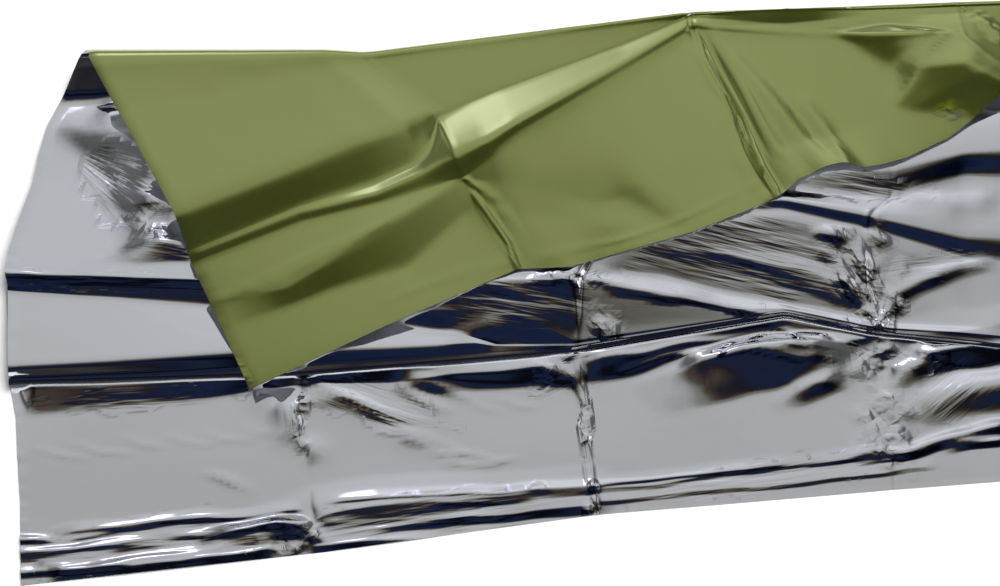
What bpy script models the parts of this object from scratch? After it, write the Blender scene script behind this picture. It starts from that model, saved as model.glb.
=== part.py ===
"""Emergency foil blanket: one metallised film sheet, 2.10 x 1.30 m, lying on a floor.

The sheet lies silver side up.  Its front part and its back part are turned a
little against each other, and the slack between them is a flat hidden tuck:
the sheet runs back under itself to the tuck fold, forward again to the rolled
lap edge, and then back once more.  Its back left corner is folded over towards
the front in a long pointed flap that shows the other side, and the fold stands
up in a springy loop.

+X runs along the sheet's length, +Y to the back and +Z up.  The underside of
the front part lies on z = 0, and the origin is under the middle of the sheet.
"""
import math

import bmesh
import bpy

MM = 0.001

# ---- driving dimensions ------------------------------------------------------
SHEET_LENGTH = 2.10            # cut length, along X
SHEET_WIDTH = 1.30             # cut width, from the front edge to the flap's free edge
PANEL = SHEET_LENGTH / 8       # the packed blanket was folded in 8 panels along its length
THICKNESS = 1.2 * MM
LAYER_PITCH = 2 * THICKNESS    # from one flat layer's middle to the next one's
FLOOR_LAYER = THICKNESS / 2    # middle of the layer that lies on the floor

# ---- where the fold lines run ------------------------------------------------
# Stations along the sheet's length, in panels from its left end: the end
# itself, packing creases 1 and 2, a place between creases 2 and 3, crease 3,
# two places past it and the right end.
STATION_PANELS = (0, 1, 2, 2.67, 3, 3.6, 4.46, 8)

# Middle surface of each fold line at the stations, (x, y, z) in millimetres.
FOLD_LINES = {
    "front_edge": ((-427, -288, 0.6), (-160, -257, 0.6), (88, -221, 0.6), (272, -205, 0.6),
                   (360, -197, 0.6), (522, -184, 0.6), (745, -178, 0.6), (1675, -190, 0.6)),
    "strip_top": ((-434, -212, 0.6), (-172, -212, 0.6), (84, -186, 0.6), (269, -174, 0.6),
                  (359, -164, 0.6), (520, -139, 0.6), (742, -138, 0.6), (1675, -150, 0.6)),
    "lap_foot": ((-445, -122, 0.6), (-184, -113, 0.6), (73, -86, 0.6), (266, -60, 0.6),
                 (349, -75, 0.6), (512, -92, 0.6), (731, -95, 0.6), (1673, -95, 0.6)),
    "lap_edge": ((-452, -98, 11), (-184, -89, 11), (70, -64, 8), (266, -28, 8),
                 (346, -47, 7.5), (508, -65, 6.6), (728, -70, 4.2), (1672, -70, 4.2)),
    "lap_top": ((-455, -71, 20), (-186, -64, 19), (69, -57, 10.5), (266, -24, 10.2),
                (346, -43, 9.6), (508, -61, 8.6), (728, -67, 5.4), (1672, -67, 5.4)),
    "valley": ((-461, -3, 11), (-187, -20, 12), (69, -52, 11), (266, -21, 10.4),
               (347, -40, 9.8), (509, -57, 8.7), (729, -64, 5.4), (1672, -64, 5.4)),
    "ridge": ((-463, 11, 21), (-196, 0, 22), (71, 0, 26), (266, -15, 17),
              (348, -34, 12), (510, -50, 9.5), (730, -55, 5.4), (1672, -55, 5.4)),
    "back_panel": ((-446, 110, 11), (-176, 105, 12), (105, 85, 10), (268, 62, 7),
                   (362, 30, 7), (528, 25, 6), (745, 40, 5.4), (1675, 40, 5.4)),
    "shoulder": ((-427, 209, 0.6), (-156, 210, 0.6), (150, 240, 5.4), (300, 246, 5.4),
                 (405, 250, 5.4), (560, 262, 5.4), (790, 282, 5.4), (1680, 292, 5.4)),
    "loop": ((-400, 237, 46), (-130, 238, 42), (186, 290, 29), (350, 296, 34),
             (445, 300, 36), (600, 308, 30), (838, 318, 7.8), (1690, 330, 7.8)),
    "flap_ridge": ((-303, 56, 48), (-66, 151, 44), (192, 280, 29), (352, 270, 34),
                   (448, 272, 36), (604, 290, 28), (838, 310, 7.8), (1690, 320, 7.8)),
    "flap_foot": ((-289, 14, 31), (-52, 116, 32), (200, 262, 27), (360, 245, 31),
                  (455, 250, 33), (610, 280, 26), (838, 303, 7.8), (1690, 312, 7.8)),
    "free_edge": ((-229, -110, 24), (24, 12, 34), (270, 91, 22), (430, 147, 30),
                  (481, 192, 38), (640, 245, 24), (837, 290, 7.8), (1690, 298, 7.8)),
}

# ---- sizes of the folds at the same stations, in millimetres -------------------
FOLD_SIZES = {
    "loop_radius": (6, 6, 3, 5, 6, 4, 1.2, 1.2),
    "tuck_limit": (100, 230, 285, 264, 287, 315, 345, 358),    # furthest reach behind the lap edge
    "roll_depth": (7, 7, 4, 3, 3, 3, 1.2, 1.2),                # of the lap edge's roll
    "roll_height": (2.5, 2.5, 1.5, 1.5, 1.5, 1.4, 1.2, 1.2),   # half of the roll's whole height
    "slope_height": (5, 5, 3, 3, 2.5, 2, 0, 0),                # of the front part under the lap edge
    "strip_height": (3.5, 3.5, 3, 2.5, 2.5, 3, 2, 2),          # of the ridges along the front edge
}
STRIP_RIDGES = 4
STRIP_CREST = 0.35             # place of each crest between the feet of its ridge
TUCK_LEAN = 0.12               # the tuck's sideways shift for each metre of its depth, to -X

# ---- ridges (+) and troughs (-) that do not run the whole length ---------------
# layer, start x, y, end x, y, height at start, at end, width to the front, width
# to the back, shape.  Millimetres.  "sharp" has a crease along its crest.
FOLDS = (
    ("front", 190, -70, 330, -80, 7.0, 7.0, 60, 40, "soft"),
    ("front", 380, -95, 520, -70, 7.0, 7.0, 50, 40, "soft"),
    ("back", -70, -24, 16, -30, 3.0, 6.0, 20, 40, "sharp"),
    ("back", 95, -50, 250, -22, 6.0, 3.0, 9, 45, "soft"),
    ("back", -440, 165, -290, 105, 0.0, 7.0, 14, 50, "sharp"),
    ("back", 180, 110, 350, 72, 11.0, 11.0, 14, 60, "sharp"),
    ("back", 350, 72, 600, 10, 11.0, 6.0, 16, 60, "sharp"),
    ("back", 395, 145, 640, 85, 14.0, 10.0, 30, 70, "soft"),
    ("flap", -33, 106, 23, 19, 5.0, 4.0, 16, 16, "sharp"),
    ("flap", 186, 280, 271, 96, 3.0, 9.0, 26, 26, "sharp"),
    ("flap", -210, 5, -85, 55, 6.0, 6.0, 34, 40, "soft"),
)

# ---- grid --------------------------------------------------------------------
COLUMN_SPACING = (30, 30, 30, 30, 40, 57, 133)    # after each station, in millimetres
# Rows of each stretch from the front edge to the free edge.
ROW_STEPS = {
    "front_panel": 3, "lap_slope": 2, "under_lap": 2, "tuck_turn": 3, "tuck_back": 3,
    "lap_roll": 5, "lap_slant": 1, "mid_panel": 2, "step": 2, "ridge_back": 3,
    "back_panel": 5, "loop_rise": 3, "loop_turn": 4, "flap_top": 5, "flap_band": 2, "flap": 6,
}
FILM_COLOUR = (0.62, 0.63, 0.65, 1.0)
FILM_ROUGHNESS = 0.12
FILM_METALLIC = 1.0


def lerp(a, b, t):
    return a + (b - a) * t


def lerp_point(p, q, t):
    return tuple(lerp(a, b, t) for a, b in zip(p, q))


def smooth(t):
    t = min(max(t, 0.0), 1.0)
    return t * t * (3 - 2 * t)


class Section:
    """The fold lines' points and the fold sizes where one column crosses the sheet."""

    def __init__(self, station, t):
        for name, points in FOLD_LINES.items():
            start, end = points[station], points[station + 1]
            setattr(self, name, tuple(c * MM for c in lerp_point(start, end, t)))
        for name, sizes in FOLD_SIZES.items():
            setattr(self, name, lerp(sizes[station], sizes[station + 1], t) * MM)


def fold_height(layer, x, y):
    """Sum of the ridges and troughs of one layer at a place in plan."""
    total = 0.0
    for name, x0, y0, x1, y1, h0, h1, front, back, shape in FOLDS:
        if name != layer:
            continue
        x0, y0, x1, y1, h0, h1, front, back = (v * MM for v in (x0, y0, x1, y1, h0, h1, front, back))
        dx, dy = x1 - x0, y1 - y0
        length = math.hypot(dx, dy)
        along = ((x - x0) * dx + (y - y0) * dy) / length
        across = ((y - y0) * dx - (x - x0) * dy) / length
        if dx < 0:
            across = -across
        width = back if across > 0 else front
        past_end = max(-along, along - length, 0.0)
        distance = math.hypot(across / width, past_end / max(front, back))
        if distance >= 1.0:
            continue
        height = lerp(h0, h1, min(max(along / length, 0.0), 1.0))
        if shape == "sharp":
            total += height * (1 - distance) ** 1.6
        else:
            total += height * smooth(1 - distance)
    return total


def fold_rows(layer, stretches):
    """Rows of straight stretches between fold lines, with the layer's ridges on them."""
    rows = []
    for start, end, steps in stretches:
        for i in range(1, steps + 1):
            x, y, z = lerp_point(start, end, i / steps)
            rows.append((x, y, z + fold_height(layer, x, y)))
    return rows


def front_layer(section):
    """Rows from the front edge to the lap edge's shadow, on the floor but for its ridges."""
    rows = []
    for ridge in range(STRIP_RIDGES):
        for place, height in ((0.0, 0.0), (STRIP_CREST, section.strip_height)):
            x, y, z = lerp_point(section.front_edge, section.strip_top, (ridge + place) / STRIP_RIDGES)
            rows.append((x, y, z + height))
    under_lap = (section.lap_edge[0], section.lap_edge[1], FLOOR_LAYER + section.slope_height)
    rows.append(section.strip_top)
    rows += fold_rows("front", (
        (section.strip_top, section.lap_foot, ROW_STEPS["front_panel"]),
        (section.lap_foot, under_lap, ROW_STEPS["lap_slope"]),
    ))
    rows[-1] = under_lap
    return rows


def tuck_layers(section, visible_length):
    """Rows back under the lap to the hidden tuck fold, round it and forward again.

    The tuck takes up the length of the sheet that the visible layers leave over.
    """
    x, y, z = section.lap_edge
    slack = SHEET_WIDTH - visible_length
    depth = min(slack / 2, section.tuck_limit)
    radius = LAYER_PITCH / 2
    tuck_x = x - depth * TUCK_LEAN
    tuck_y = y + depth - radius
    start = (x, y, FLOOR_LAYER + section.slope_height)
    floor_end = (tuck_x, tuck_y, FLOOR_LAYER)
    rows = []
    steps = ROW_STEPS["under_lap"]
    for i in range(1, steps):
        px, py, pz = lerp_point(start, floor_end, i / steps)
        rows.append((px, py, FLOOR_LAYER + section.slope_height * (1 - smooth(2 * i / steps))))
    steps = ROW_STEPS["tuck_turn"]
    for i in range(steps + 1):
        a = math.pi * i / steps
        rows.append((tuck_x, tuck_y + radius * math.sin(a), FLOOR_LAYER + radius * (1 - math.cos(a))))
    steps = ROW_STEPS["tuck_back"]
    start = (tuck_x, tuck_y, FLOOR_LAYER + LAYER_PITCH)
    end = (x, y + section.roll_depth, z - section.roll_height)
    return rows + [lerp_point(start, end, smooth(i / steps)) for i in range(1, steps)]


def lap_roll(section):
    """The rolled lap edge: half an ellipse that turns the sheet up and back."""
    x, y, z = section.lap_edge
    steps = ROW_STEPS["lap_roll"]
    rows = []
    for i in range(steps + 1):
        a = math.pi * i / steps
        rows.append((x, y + section.roll_depth * (1 - math.sin(a)),
                     z - section.roll_height * math.cos(a)))
    return rows


def back_layer(section, roll_top):
    """Rows from the lap roll over the step and the ridge to the foot of the loop."""
    stretches = (
        (roll_top, section.lap_top, ROW_STEPS["lap_slant"]),
        (section.lap_top, section.valley, ROW_STEPS["mid_panel"]),
        (section.valley, section.ridge, ROW_STEPS["step"]),
        (section.ridge, section.back_panel, ROW_STEPS["ridge_back"]),
        (section.back_panel, section.shoulder, ROW_STEPS["back_panel"]),
    )
    return fold_rows("back", stretches)


def loop_and_flap(section):
    """The rise to the loop, the turn at its top and the flap down to its free edge."""
    x, y, z = section.loop
    radius = section.loop_radius
    centre_y, centre_z = y - 0.7 * radius, z - 0.7 * radius
    foot_x, foot_y, foot_z = section.shoulder
    rise_angle = math.atan2(max(centre_z - foot_z - radius * 0.6, 0.0), centre_y - foot_y)
    turn = []
    steps = ROW_STEPS["loop_turn"]
    for i in range(steps + 1):
        a = lerp(rise_angle, math.pi, i / steps)
        turn.append((x, centre_y + radius * math.sin(a), centre_z - radius * math.cos(a)))
    steps = ROW_STEPS["loop_rise"]
    rise = [lerp_point(section.shoulder, turn[0], i / steps) for i in range(1, steps)]
    stretches = (
        (turn[-1], section.flap_ridge, ROW_STEPS["flap_top"]),
        (section.flap_ridge, section.flap_foot, ROW_STEPS["flap_band"]),
        (section.flap_foot, section.free_edge, ROW_STEPS["flap"]),
    )
    return rise + turn + fold_rows("flap", stretches)


def path_length(points):
    return sum(math.dist(a, b) for a, b in zip(points, points[1:]))


def column_points(station, t):
    """Every point of one column of the sheet, from the front edge to the free edge."""
    section = Section(station, t)
    front = front_layer(section)
    roll = lap_roll(section)
    back = roll + back_layer(section, roll[-1]) + loop_and_flap(section)
    return front + tuck_layers(section, path_length(front) + path_length(back)) + back


def sheet_columns():
    """All columns, from the left end to the right end."""
    columns = []
    for station, spacing in enumerate(COLUMN_SPACING):
        length = (STATION_PANELS[station + 1] - STATION_PANELS[station]) * PANEL
        steps = math.ceil(length / (spacing * MM))
        columns += [column_points(station, i / steps) for i in range(steps)]
    columns.append(column_points(len(COLUMN_SPACING) - 1, 1.0))
    return columns


def folded_sheet_mesh(name):
    """A flat grid whose points are moved to their places on the folded sheet."""
    columns = sheet_columns()
    count_x, count_y = len(columns), len(columns[0])
    bm = bmesh.new()
    bmesh.ops.create_grid(bm, x_segments=count_x - 1, y_segments=count_y - 1, size=1.0)
    bm.verts.ensure_lookup_table()
    for vert in bm.verts:
        i = round((vert.co.x + 1) / 2 * (count_x - 1))
        j = round((vert.co.y + 1) / 2 * (count_y - 1))
        vert.co = columns[i][j]
    low_x = min(v.co.x for v in bm.verts)
    high_x = max(v.co.x for v in bm.verts)
    low_y = min(v.co.y for v in bm.verts)
    high_y = max(v.co.y for v in bm.verts) + THICKNESS / 2    # the loop's outer face
    for vert in bm.verts:
        vert.co.x -= (low_x + high_x) / 2
        vert.co.y -= (low_y + high_y) / 2
    mesh = bpy.data.meshes.new(name)
    bm.to_mesh(mesh)
    bm.free()
    return mesh


def film_material():
    material = bpy.data.materials.new("metallised_film")
    material.use_nodes = True
    shader = material.node_tree.nodes["Principled BSDF"]
    shader.inputs["Base Color"].default_value = FILM_COLOUR
    shader.inputs["Roughness"].default_value = FILM_ROUGHNESS
    shader.inputs["Metallic"].default_value = FILM_METALLIC
    return material


def make_blanket(collection):
    mesh = folded_sheet_mesh("blanket_sheet")
    mesh.materials.append(film_material())
    sheet = bpy.data.objects.new("blanket_sheet", mesh)
    collection.objects.link(sheet)
    film = sheet.modifiers.new("film_thickness", "SOLIDIFY")
    film.thickness = THICKNESS
    film.offset = 0.0
    return sheet


def main():
    for obj in list(bpy.data.objects):
        bpy.data.objects.remove(obj, do_unlink=True)
    collection = bpy.data.collections.new("emergency_blanket")
    bpy.context.scene.collection.children.link(collection)
    make_blanket(collection)


main()
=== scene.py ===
"""Emergency foil blanket: one sheet of metallised film, silver and olive, lying on a floor.

The sheet lies silver side up.  Its front part and its back part are turned a
little against each other, and the slack between them is a flat hidden tuck
under the rolled lap edge.  The back left corner is folded over towards the
front in a long pointed flap, which shows the olive side.

The sheet is a grid.  Its columns cross the sheet, its rows run along it, and
its points are put on straight lines between the fold lines.  Then every fold,
facet and wrinkle lifts the layer that it is on.
"""

import math

import bpy
import numpy as np
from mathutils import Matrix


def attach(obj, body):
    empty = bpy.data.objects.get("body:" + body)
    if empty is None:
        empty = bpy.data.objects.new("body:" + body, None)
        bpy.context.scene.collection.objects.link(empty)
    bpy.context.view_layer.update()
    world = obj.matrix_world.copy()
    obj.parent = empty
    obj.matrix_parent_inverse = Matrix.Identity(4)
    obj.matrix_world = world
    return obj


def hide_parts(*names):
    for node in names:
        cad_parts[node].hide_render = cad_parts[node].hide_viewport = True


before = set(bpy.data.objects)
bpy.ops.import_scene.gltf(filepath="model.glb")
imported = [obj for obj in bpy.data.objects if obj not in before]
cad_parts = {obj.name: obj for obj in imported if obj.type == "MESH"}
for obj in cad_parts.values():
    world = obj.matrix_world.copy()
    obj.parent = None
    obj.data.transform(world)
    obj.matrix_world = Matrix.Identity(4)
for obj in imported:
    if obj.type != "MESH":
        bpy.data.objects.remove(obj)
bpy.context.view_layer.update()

MM = 0.001
FLAT_MAP = "flat_sheet"        # the map of places on the flat sheet, in metres

# ---- the cut sheet -------------------------------------------------------------
SHEET_LENGTH = 2.10            # along X
SHEET_WIDTH = 1.30             # from the front edge to the flap's free edge
PANELS = 8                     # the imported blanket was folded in 8 panels each way
PANEL_LENGTH = SHEET_LENGTH / PANELS
PANEL_WIDTH = SHEET_WIDTH / PANELS
FILM_THICKNESS = 0.4 * MM
LAYER_PITCH = 2.4 * MM         # from one hidden layer's middle to the next one's
FLOOR_LAYER = 0.6 * MM         # middle of the layer that lies on the floor
TABLE_CENTRE = (0.6130, 0.0215)    # the frame's origin in the tables' coordinates, in metres

# ---- where the fold lines run ----------------------------------------------------
# Each fold line is a row of points (panels from the left end, x, y, z), in
# millimetres, on the sheet's middle surface.
FOLD_LINES = {
    "front_edge": ((0, -427, -288, 0.6), (1, -160, -257, 0.6), (2, 88, -221, 0.6),
        (2.67, 272, -205, 0.6), (3, 360, -197, 0.6), (3.6, 522, -184, 0.6), (4.46, 745, -178, 0.6),
        (8, 1675, -190, 0.6)),
    "strip_top": ((0, -434, -212, 0.6), (1, -172, -212, 0.6), (2, 84, -186, 0.6),
        (2.67, 269, -174, 0.6), (3, 359, -164, 0.6), (3.6, 520, -139, 0.6), (4.46, 742, -138, 0.6),
        (8, 1675, -150, 0.6)),
    "lap_foot": ((0, -445, -126, 0.6), (0.3, -375, -118, 0.6), (0.7, -272, -108, 0.6),
        (1, -185, -94, 0.6), (1.5, -55, -92, 0.6), (2, 74, -95, 0.6), (2.67, 259, -45, 0.6),
        (3, 346, -61, 0.6), (3.6, 512, -92, 0.6), (4.46, 731, -95, 0.6), (8, 1673, -95, 0.6)),
    "lap_edge": ((0, -452, -98, 11), (1, -184, -89, 11), (2, 70, -64, 8), (2.67, 266, -28, 8),
        (3, 346, -47, 7.5), (3.6, 508, -65, 6.6), (4.46, 728, -70, 4.2), (8, 1672, -70, 4.2)),
    "lap_top": ((0, -452, -87, 20), (0.33, -368, -81, 20), (0.8, -244, -70, 20),
        (1, -184, -67, 19), (1.3, -102, -63, 16), (1.62, -22, -58, 14), (1.71, -5, -60, 12),
        (2, 69, -59, 10.3), (2.67, 266, -24, 10.2), (3, 346, -43, 9.6), (3.6, 508, -61, 8.6),
        (4.46, 728, -67, 5.4), (8, 1672, -67, 5.4)),
    "valley": ((0, -460, -5, 15), (0.4, -345, -13, 14), (0.75, -275, -19, 13), (1, -186, -26, 12),
        (1.3, -107, -36, 12), (1.54, -46, -45, 12), (1.71, -3, -58, 12), (2, 69, -57, 10.5),
        (2.67, 266, -23.5, 10.3), (3, 347, -42, 9.8), (3.6, 509, -58, 8.7), (4.46, 729, -64, 5.4),
        (8, 1672, -64, 5.4)),
    "step_crest": ((0, -460, 0, 17), (0.7, -278, -5, 17), (1, -188, -12, 17),
        (1.48, -65, -24, 17.5), (1.79, 16, -32, 18), (2, 70, -54, 11.5), (2.67, 266, -22.5, 10.5),
        (3, 348, -41, 10), (3.6, 510, -55, 9), (4.46, 730, -61, 5.4), (8, 1672, -61, 5.4)),
    "ridge": ((0, -463, 11, 21), (1, -196, 0, 22), (1.48, -68, 0, 26), (1.79, 14, 0, 28),
        (1.98, 66, 0, 27.5), (2.02, 77, 0, 22), (2.28, 149, -10, 17), (2.5, 211, -23, 12),
        (2.67, 266, -21, 10.9), (3, 348, -39.5, 10.6), (3.6, 510, -52, 9.6), (4.46, 730, -56, 5.4),
        (8, 1672, -56, 5.4)),
    "band_back": ((0, -463, 14, 20.6), (1, -192, 5, 21.5), (1.48, -66, 5, 25.5), (1.79, 15, 5, 27),
        (1.98, 67, 5, 27), (2.02, 77, 4, 21), (2.15, 114, 13, 18), (2.28, 150, 11, 14),
        (2.47, 199, -2, 10.5), (2.67, 266, -15, 9.2), (3, 350, -33, 8.4), (3.6, 512, -44, 8),
        (4.46, 732, -45, 5.4), (8, 1672, -45, 5.4)),
    "slope_top": ((0, -461, 42, 17.5), (1, -185, 50, 17), (2, 100, 60, 24), (2.4, 188, 62, 25),
        (2.67, 267, 69, 24), (3, 351, 52, 19), (3.35, 437, 27, 12), (3.6, 530, 10, 10),
        (4.46, 745, 0, 5.4), (8, 1672, 0, 5.4)),
    "roll_foot": ((0, -455, 75, 14), (1, -180, 80, 14), (2, 105, 75, 20), (2.4, 189, 71, 24.5),
        (2.67, 267, 77, 23.5), (3, 350, 58, 18.5), (3.35, 438, 32, 11.5), (3.6, 530, 22, 9.5),
        (4.46, 745, 20, 5.4), (8, 1672, 20, 5.4)),
    "roll_top": ((0, -446, 113, 10), (1, -176, 110, 11), (2, 110, 95, 20), (2.4, 189, 83, 25.5),
        (2.67, 268, 86, 27), (3, 349, 71, 23.5), (3.35, 438, 51, 18), (3.6, 535, 50, 15),
        (4.46, 750, 50, 5.4), (8, 1672, 50, 5.4)),
    "crest_foot": ((0, -443, 148, 7), (1, -172, 145, 8), (2, 120, 140, 14), (2.67, 275, 98, 21),
        (3, 373, 93, 16), (3.35, 444, 117, 13), (3.6, 545, 110, 12), (4.46, 760, 110, 5.4),
        (8, 1675, 110, 5.4)),
    "crest_top": ((0, -438, 177, 4), (1, -168, 175, 4.5), (2, 130, 190, 10), (2.67, 281, 122, 24),
        (3, 373, 122, 23.7), (3.35, 444, 140, 23), (3.6, 548, 150, 22), (4.46, 770, 180, 5.4),
        (8, 1675, 180, 5.4)),
    "shoulder": ((0, -427, 209, 0.6), (1, -156, 210, 0.6), (2, 150, 240, 5.4),
        (2.67, 300, 246, 5.4), (3, 405, 250, 5.4), (3.6, 560, 262, 5.4), (4.46, 790, 282, 5.4),
        (8, 1680, 292, 5.4)),
    "loop": ((0, -404, 237, 46), (0.85, -170, 238, 45), (1, -130, 238, 40), (2, 186, 290, 29),
        (2.67, 350, 296, 30), (3, 445, 300, 31), (3.6, 600, 308, 27), (4.46, 838, 318, 7.8),
        (8, 1690, 330, 7.8)),
    "flap_fold": ((0, -375, 190, 47), (0.85, -161, 220, 46), (1, -123, 225, 41), (2, 187, 286, 29),
        (2.67, 350, 292, 30), (3, 446, 295, 31), (3.6, 601, 303, 27), (4.46, 838, 316, 7.8),
        (8, 1690, 328, 7.8)),
    "flap_ridge": ((0, -303, 58, 49), (0.4, -202, 103, 48.2), (0.7, -131, 138, 47),
        (0.85, -90, 155, 43.5), (0.93, -73, 166, 39), (1, -61, 175, 35.8), (1.13, -29, 190, 34.5),
        (1.25, -1, 203, 34), (1.65, 117, 255, 30), (2, 185, 287, 28.5), (2.67, 352, 280, 30),
        (3, 447, 284, 31), (3.6, 602, 298, 26), (4.46, 838, 314, 7.8), (8, 1690, 326, 7.8)),
    "flap_valley": ((0, -291, 26, 38), (0.4, -192, 72, 37.5), (0.7, -121, 97, 34.5),
        (0.85, -80, 117, 35.2), (0.93, -66, 133, 35.8), (1, -59, 168, 34.8), (1.13, -27, 186, 34),
        (1.25, 0, 199, 33.5), (1.65, 117, 251, 29.5), (2, 185, 284, 28), (2.67, 353, 270, 29.5),
        (3, 448, 274, 31), (3.6, 603, 293, 25), (4.46, 838, 312, 7.8), (8, 1690, 324, 7.8)),
    "flap_crest": ((0, -289, 20, 36.9), (0.4, -189, 65, 37), (0.7, -116, 86, 37.3),
        (0.85, -73, 108, 39.3), (0.93, -56, 118, 42), (1, -42, 122, 45), (1.13, -12, 137, 47.5),
        (1.25, 10, 153, 47), (1.65, 117, 228, 36.2), (2, 185, 275, 29.5), (2.67, 354, 262, 29),
        (3, 449, 266, 30.5), (3.6, 604, 290, 24.5), (4.46, 838, 310, 7.8), (8, 1690, 322, 7.8)),
    "flap_foot": ((0, -287, 14, 34.6), (0.4, -186, 57, 34.4), (0.7, -110, 78, 34.5),
        (0.85, -66, 94, 35.2), (0.93, -47, 101, 36), (1, -35, 104, 36.5), (1.13, -4, 129, 43),
        (1.25, 16, 147, 43), (1.65, 120, 220, 34.5), (2, 186, 270, 28), (2.67, 356, 254, 28.5),
        (3, 451, 258, 30), (3.6, 606, 286, 24), (4.46, 838, 308, 7.8), (8, 1690, 320, 7.8)),
    "flap_bend": ((0, -270, -21, 30), (0.25, -199, -9, 31.5), (0.4, -166, 13, 33.5),
        (0.7, -100, 59, 36), (0.85, -62, 84, 35.5), (0.93, -44, 96, 35.5), (1, -33, 100, 35.5),
        (1.13, 7, 98, 38), (1.25, 43, 93, 35.5), (1.4, 94, 83, 31), (1.65, 156, 114, 31),
        (2, 225, 175, 29), (2.67, 378, 215, 27), (3, 470, 240, 29), (3.6, 615, 276, 23),
        (4.46, 838, 303, 7.8), (8, 1690, 313, 7.8)),
    "flap_hollow": ((0, -256, -50, 26.5), (0.25, -191, -24, 26.5), (0.4, -154, -7, 26.3),
        (0.7, -86, 16, 25.5), (0.85, -51, 50, 28.5), (0.93, -32, 67, 30.5), (1, -21, 75, 33),
        (1.13, 19, 65, 34), (1.25, 56, 66, 31.5), (1.4, 105, 56, 29.5), (1.65, 167, 83, 29.5),
        (2, 243, 132, 28.5), (2.67, 392, 180, 26), (3, 485, 228, 28), (3.6, 625, 267, 22),
        (4.46, 838, 297, 7.8), (8, 1690, 306, 7.8)),
    "free_edge": ((0, -229, -107, 20.5), (0.5, -105, -44, 23.5), (0.9, -8, 0, 28.5),
        (1, 16, 11, 29), (1.2, 67, 14, 28.5), (1.36, 104, 28, 25), (1.65, 179, 50, 28),
        (1.85, 229, 71, 28.5), (2, 262, 87, 28.5), (2.08, 283, 105, 29), (2.18, 307, 116, 33),
        (2.25, 324, 121, 34), (2.33, 344, 117, 31), (2.42, 365, 122, 28.5), (2.5, 387, 130, 26),
        (2.67, 431, 154, 23), (2.88, 483, 198, 22), (3, 505, 215, 27), (3.6, 645, 255, 21),
        (4.46, 837, 290, 7.8), (8, 1690, 298, 7.8)),
}

# ---- sizes of the folds at these places along the sheet, in millimetres --------------
SIZE_PANELS = (0, 0.04, 0.065, 1, 2, 2.67, 3, 3.6, 4.46, 8)
FOLD_SIZES = {
    "loop_radius": (15, 14.6, 14.4, 8, 3, 5, 6, 4, 1.2, 1.2),
    "loop_slant": (9, 8.5, 8, 0, 0, 0, 0, 0, 0, 0),
    "tuck_limit": (100, 105, 108, 230, 285, 264, 287, 315, 345, 358),
    "roll_depth": (7, 7, 7, 7, 4, 3, 3, 3, 1.2, 1.2),
    "roll_height": (2.5, 2.5, 2.5, 2.5, 1.5, 1.5, 1.5, 1.4, 1.2, 1.2),
    "slope_height": (0, 0, 5.5, 4.5, 5, 4, 4, 3, 0, 0),
}
TUCK_LEAN = 0.12               # the tuck's sideways shift for each metre of its depth

# ---- grid --------------------------------------------------------------------------
# Columns: end of each run, in panels, and the spacing in it, in millimetres.
CREASE_RUN = 0.035             # half width of the close columns at a packing crease, in panels
COLUMN_RUNS = (
    (1 - CREASE_RUN, 6.2), (1 + CREASE_RUN, 2.4), (2 - CREASE_RUN, 6.2), (2 + CREASE_RUN, 2.4),
    (3 - CREASE_RUN, 6.2), (3 + CREASE_RUN, 2.4), (3.7, 6.2), (4.5, 24), (8, 80),
)
# Rows from each fold line to the next one, under the name of the line where they end.
# "under_lap" and "ledge" are lines that are worked out from others.
FRONT_ROWS = (("strip_top", 40), ("lap_foot", 32), ("under_lap", 12))
BACK_ROWS = (
    ("lap_top", 5), ("valley", 16), ("step_crest", 6), ("ledge", 1), ("ridge", 8), ("band_back", 5),
    ("slope_top", 20), ("roll_foot", 3), ("roll_top", 5), ("crest_foot", 7), ("crest_top", 5),
    ("shoulder", 3),
)
FLAP_ROWS = (
    ("flap_fold", 3), ("flap_ridge", 11), ("flap_valley", 7), ("flap_crest", 6), ("flap_foot", 4),
    ("flap_bend", 8), ("flap_hollow", 8), ("free_edge", 13),
)
UNDER_LAP_ROWS = 3
TUCK_TURN_ROWS = 3
TUCK_BACK_ROWS = 3
LAP_ROLL_ROWS = 6
LOOP_RISE_ROWS = 4
LOOP_TURN_ROWS = 6
LEDGE_SHARE = 0.06             # where the ledge of the step is, from its crest to the ridge
LEDGE_RISE = 0.1 * MM          # of the ledge over that crest
LOOP_MIDDLE = 0.7              # from the loop's fold line to its middle, both ways, in radii
LOOP_SPRING = 0.6              # height that the loop's turn takes of its rise, in radii
FRONT_SOFTENING = 2            # passes that round the front part's heights across its rows
BACK_SOFTENING = 1             # the same for the back part and the flap
SMALLEST_STEP = 0.01 * MM      # between rows that are softened
FLOOR_GAP = 0.05 * MM          # under the film where it lies on the floor

# ---- looks ---------------------------------------------------------------------------
# The two faces of the film. metal is the share of the light that the metal returns: the
# lacquer scatters the rest. Wrinkle heights and the facet size are in metres.
SILVER_FILM = {
    "colour": (0.80, 0.81, 0.83),
    "worn_colour": (0.74, 0.75, 0.77),
    "roughness": 0.05,
    "worn_roughness": 0.10,
    "metal": 1.0,
    "lacquer": {"Coat Weight": 0.0},
    "wrinkles": {"Fine Height": 0.00003, "Streak Height": 0.0005, "Crumple Slope": 0.06,
                 "Facet Size": 0.026},
}
OLIVE_FILM = {
    "colour": (0.28, 0.335, 0.02),
    "worn_colour": (0.32, 0.375, 0.05),
    "roughness": 0.15,
    "worn_roughness": 0.24,
    "metal": 0.9,
    "lacquer": {"Coat Weight": 1.0, "Coat IOR": 2.3, "Coat Roughness": 0.17},
    "wrinkles": {"Fine Height": 0.00002, "Streak Height": 0.0001, "Crumple Slope": 0.08,
                 "Facet Size": 0.02},
}
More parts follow.
